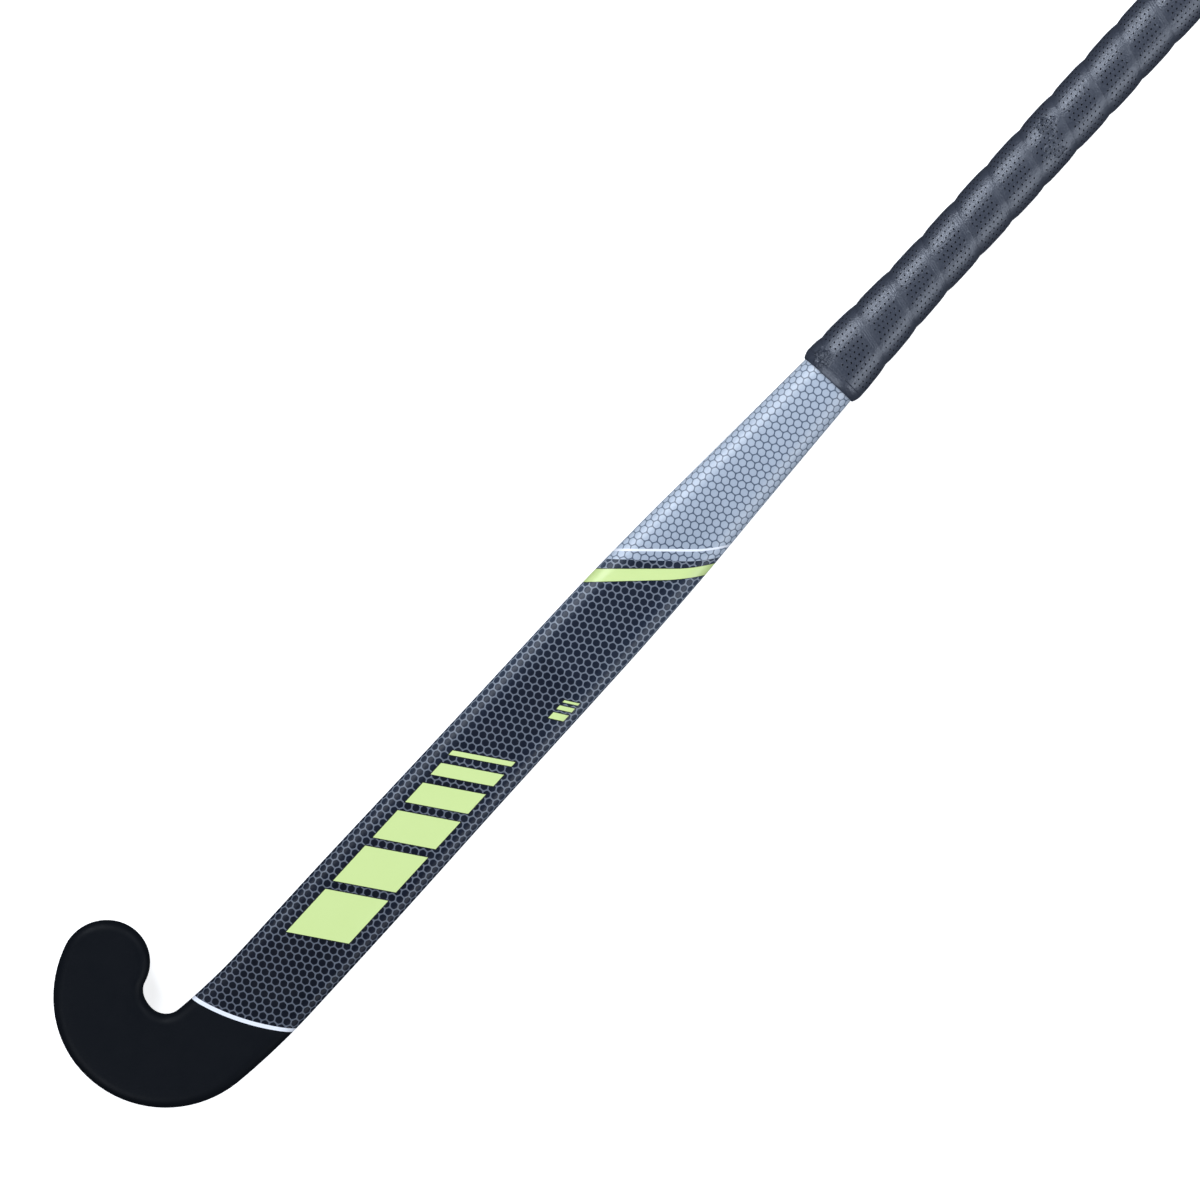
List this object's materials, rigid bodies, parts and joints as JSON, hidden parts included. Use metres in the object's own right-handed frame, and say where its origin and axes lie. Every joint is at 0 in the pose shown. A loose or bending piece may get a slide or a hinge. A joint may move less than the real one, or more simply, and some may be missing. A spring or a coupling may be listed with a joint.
{
  "type": "field hockey stick",
  "caption": "Field hockey stick: a flat-faced, hooked composite head on a bowed shaft that tapers into a round handle wound with cushion tape.",
  "frame": {"origin": "centre of the outer box in plan, on the surface that the stick's rounded back rests on", "axes": "+X up the stick from the hooked head to the butt, +Y to the side of the toe, +Z out of the flat playing face"},
  "size_m": [0.9272, 0.1182, 0.0583],
  "materials": {
    "laminate": "satin lacquer over a printed hexagon pattern, plain matt black on the head",
    "aramid": "woven aramid in resin",
    "rigid_foam": "fine-celled rigid foam",
    "inner_carbon": "braided carbon in resin",
    "stiffener_carbon": "carbon strip with its fibres along the stick",
    "grip_tape": "perforated cushion tape, soft satin",
    "finishing_band": "smooth stretched band",
    "underlay": "thin cushion wrap",
    "cap_rubber": "moulded rubber"
  },
  "bodies": {
    "root": {"stick_shell": "laminate", "head_aramid_sleeve": "aramid", "head_foam_core": "rigid_foam", "left_inner_tube": "inner_carbon", "right_inner_tube": "inner_carbon", "face_stiffener": "stiffener_carbon", "back_stiffener": "stiffener_carbon", "handle_plug": "rigid_foam", "finishing_band": "finishing_band", "grip_underlay": "underlay", "grip_tape": "grip_tape", "butt_cap": "cap_rubber"}
  },
  "joints": []
}
